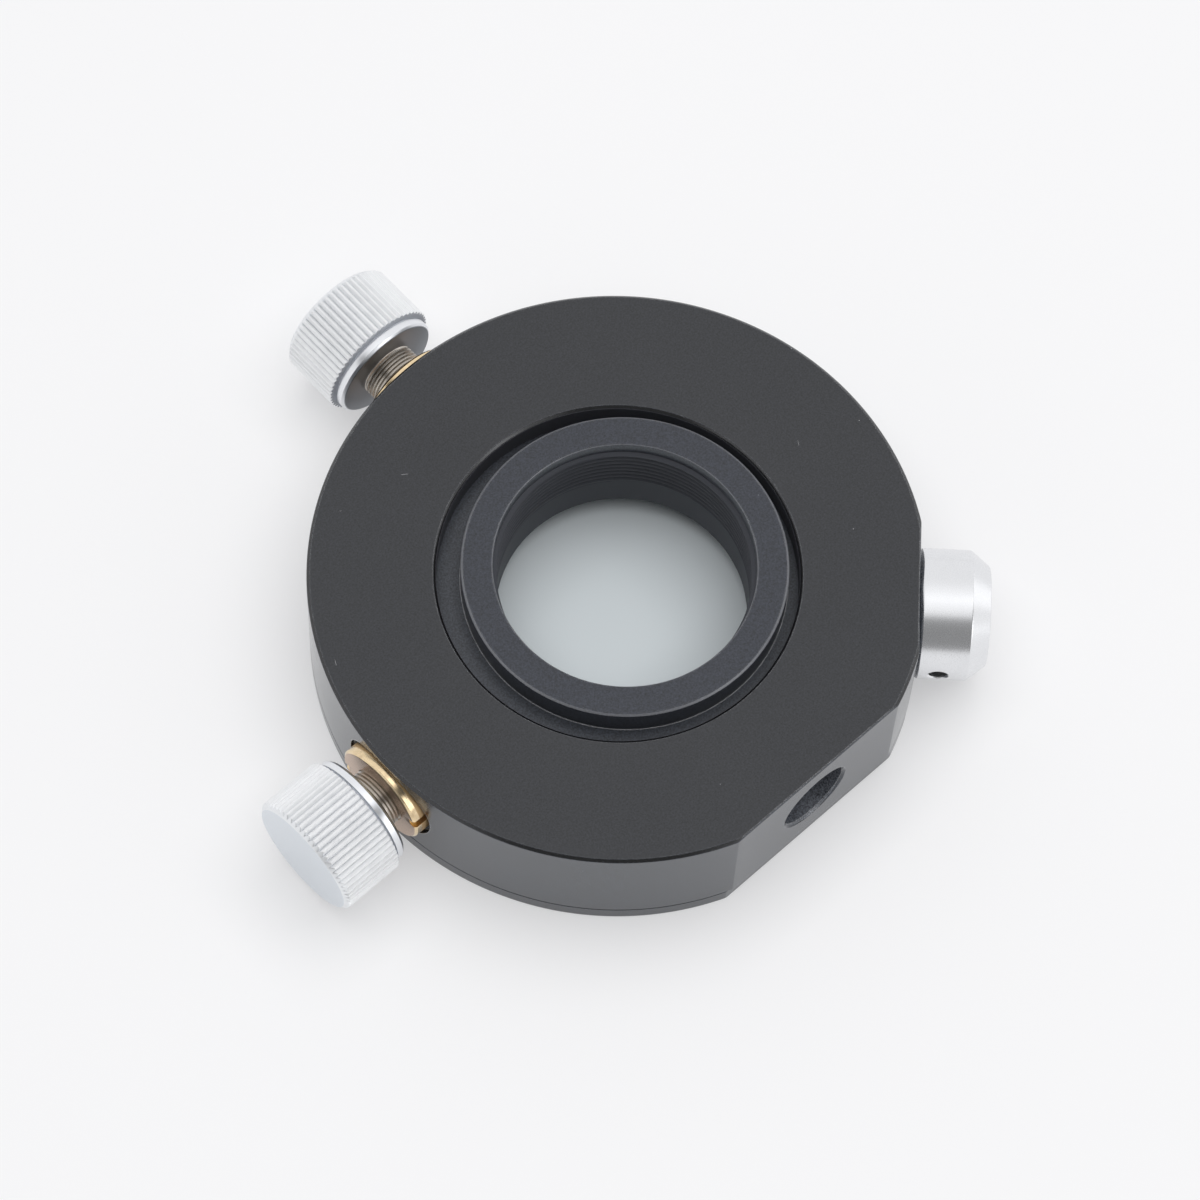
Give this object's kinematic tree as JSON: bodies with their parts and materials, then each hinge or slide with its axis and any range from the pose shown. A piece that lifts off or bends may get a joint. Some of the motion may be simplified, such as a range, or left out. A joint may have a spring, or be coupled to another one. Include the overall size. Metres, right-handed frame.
{
  "type": "optical lens mount",
  "caption": "Ring-shaped lens centring mount: a threaded cell slides inside a black housing, moved by two fine adjusters at right angles against a spring plunger.",
  "frame": {"origin": "centre of the clear hole at the rear face of the back plate", "axes": "+Z along the optical axis out of the front face; -Y towards the post; +Y along the upper adjuster; -X along the side adjuster"},
  "size_m": [0.0942, 0.094, 0.0199],
  "materials": {
    "black_housing": "turned, fine bead-blasted and black anodised",
    "black_plate": "turned and black anodised",
    "black_cell": "turned and black anodised, slightly blue",
    "black_steel": "black oxide",
    "spring_steel": "drawn, plain",
    "brass": "turned, polished face",
    "screw_steel": "rolled fine thread, dark",
    "ball_steel": "hardened and polished",
    "satin_aluminium": "turned and straight-knurled, clear anodised",
    "satin_cap": "turned, clear anodised",
    "pin_steel": "ground"
  },
  "bodies": {
    "ring": {"housing": "black_housing", "back_plate": "black_plate", "plate_screw_1": "black_steel", "plate_screw_2": "black_steel", "plate_screw_3": "black_steel", "plate_screw_4": "black_steel", "wave_washer": "spring_steel", "upper_bush": "brass", "side_bush": "brass", "plunger_cap": "satin_cap"},
    "upper_tip": {"upper_ball": "ball_steel"},
    "upper_adjuster": {"upper_screw": "screw_steel", "upper_knob": "satin_aluminium", "upper_grub_screw": "black_steel"},
    "cell": {"lens_cell": "black_cell"},
    "side_tip": {"side_ball": "ball_steel"},
    "side_adjuster": {"side_screw": "screw_steel", "side_knob": "satin_aluminium", "side_grub_screw": "black_steel"},
    "spring": {"plunger_spring": "spring_steel"},
    "pin": {"plunger_pin": "pin_steel"}
  },
  "joints": [
    {"name": "upper_travel", "type": "slide", "parent": "ring", "child": "upper_tip", "axis": [0, 1, 0], "range_m": [-0.0015, 0.0015]},
    {"name": "upper_knob_turn", "type": "hinge", "parent": "upper_tip", "child": "upper_adjuster", "pos_m": [0, 0.045, 0.0109], "axis": [0, 1, 0], "range_deg": [-1081, 1081]},
    {"name": "cell_side_slide", "type": "slide", "parent": "upper_tip", "child": "cell", "axis": [-1, 0, 0], "range_m": [-0.0003, 0.0027]},
    {"name": "side_travel", "type": "slide", "parent": "ring", "child": "side_tip", "axis": [-1, 0, 0], "range_m": [-0.0003, 0.0027]},
    {"name": "side_knob_turn", "type": "hinge", "parent": "side_tip", "child": "side_adjuster", "pos_m": [-0.045, 0, 0.0109], "axis": [-1, 0, 0], "range_deg": [-217, 1945]},
    {"name": "spring_slide", "type": "slide", "parent": "ring", "child": "spring", "axis": [0.7071, -0.7071, 0], "range_m": [-0.00106, 0.00106], "deforming": ["plunger_spring"]},
    {"name": "pin_slide", "type": "slide", "parent": "spring", "child": "pin", "axis": [0.7071, -0.7071, 0], "range_m": [-0.00191, 0.00021]}
  ],
  "couplings": [
    {"joint": "upper_knob_turn", "follows": "upper_travel", "rad_per_m": 12566},
    {"joint": "spring_slide", "follows": "upper_travel", "ratio": -0.70711},
    {"joint": "side_knob_turn", "follows": "side_travel", "rad_per_m": 12566},
    {"joint": "cell_side_slide", "follows": "side_travel", "ratio": 1},
    {"joint": "pin_slide", "follows": "side_travel", "ratio": -0.70711}
  ]
}
